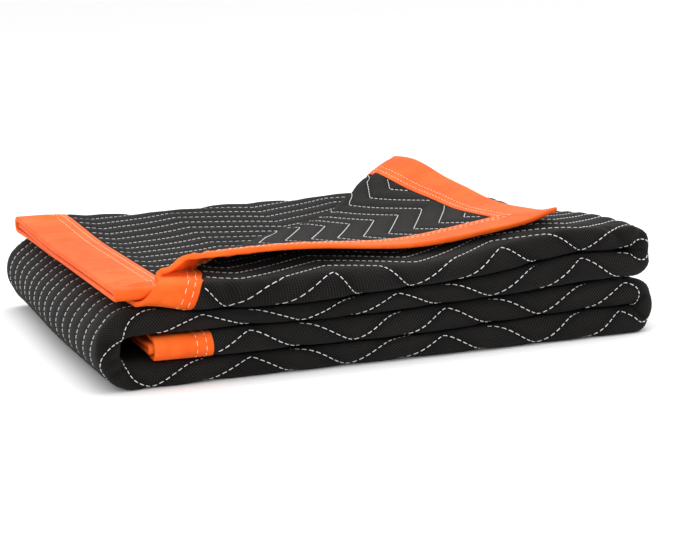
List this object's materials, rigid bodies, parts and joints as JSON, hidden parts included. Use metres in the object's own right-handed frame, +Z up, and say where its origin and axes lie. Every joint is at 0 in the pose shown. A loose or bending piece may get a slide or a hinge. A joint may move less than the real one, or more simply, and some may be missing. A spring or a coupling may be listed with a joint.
{
  "type": "folded quilted moving pad",
  "caption": "Quilted moving pad folded into a square stack of plies, its top corner turned over in a triangular flap, with a bright tape binding round its edge.",
  "frame": {"origin": "centre of the folded pad's box, on the surface that it rests on", "axes": "+Z up out of the surface, the shortest way through the fold; +X along the folded lengths, from the bound end to the turns; +Y from the rolled front edge to the back"},
  "size_m": [0.499, 0.4655, 0.1232],
  "materials": {
    "quilted_cloth": "black woven cloth, matt, quilted with white thread in zigzags",
    "binding_tape": "orange woven tape with a slight sheen, two rows of stitches"
  },
  "bodies": {
    "root": {"quilted_pad": "quilted_cloth", "edge_binding": "binding_tape"}
  },
  "joints": []
}
